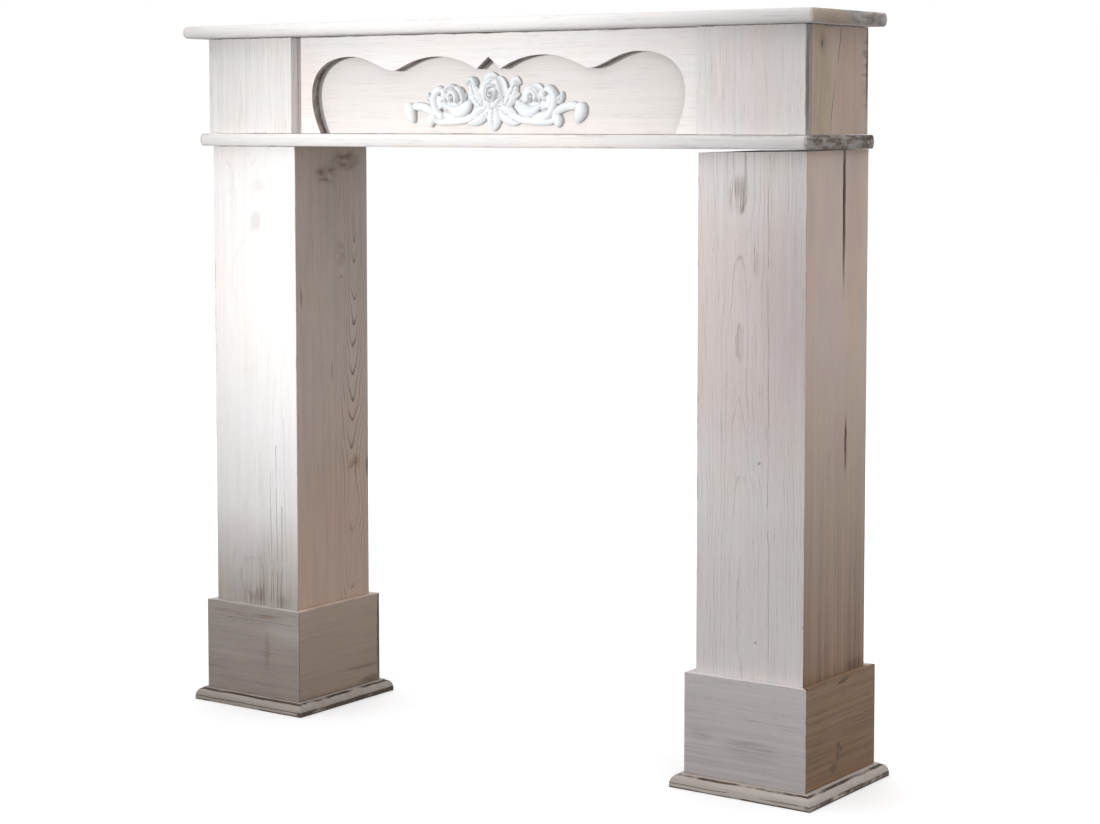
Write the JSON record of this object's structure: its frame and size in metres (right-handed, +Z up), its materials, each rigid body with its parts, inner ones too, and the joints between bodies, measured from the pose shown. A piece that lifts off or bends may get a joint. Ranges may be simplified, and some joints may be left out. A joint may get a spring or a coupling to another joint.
{
  "type": "fireplace mantelpiece",
  "caption": "Free-standing whitewashed wooden fire surround: hollow box legs on plinths, shallow frieze with scalloped fretwork and a rose applique, bullnosed mantelshelf.",
  "frame": {"origin": "middle of the rectangle that the whole piece covers on the floor", "axes": "+Z up; +X along the shelf, to the right of someone facing the front; the front faces -Y"},
  "size_m": [1.05, 0.223, 1],
  "materials": {
    "whitewashed_board": "chalky white paint rubbed thin over light softwood, worn at the edges",
    "thin_washed_board": "softwood with a thin white wash, warm brown grain showing through",
    "painted_resin": "cast applique under matt white paint"
  },
  "bodies": {
    "root": {"left_base_plate": "whitewashed_board", "right_base_plate": "whitewashed_board", "left_plinth_front": "whitewashed_board", "left_plinth_back": "whitewashed_board", "left_plinth_inner": "thin_washed_board", "left_plinth_outer": "whitewashed_board", "right_plinth_front": "whitewashed_board", "right_plinth_back": "whitewashed_board", "right_plinth_inner": "whitewashed_board", "right_plinth_outer": "thin_washed_board", "left_leg_front": "whitewashed_board", "left_leg_back": "whitewashed_board", "left_leg_inner": "thin_washed_board", "left_leg_outer": "whitewashed_board", "right_leg_front": "whitewashed_board", "right_leg_back": "whitewashed_board", "right_leg_inner": "whitewashed_board", "right_leg_outer": "thin_washed_board", "moulding_board": "whitewashed_board", "left_frieze_end": "thin_washed_board", "right_frieze_end": "thin_washed_board", "left_block_board": "whitewashed_board", "right_block_board": "whitewashed_board", "frieze_back_panel": "whitewashed_board", "fretwork_board": "whitewashed_board", "rose_applique": "painted_resin", "mantelshelf": "whitewashed_board"}
  },
  "joints": []
}
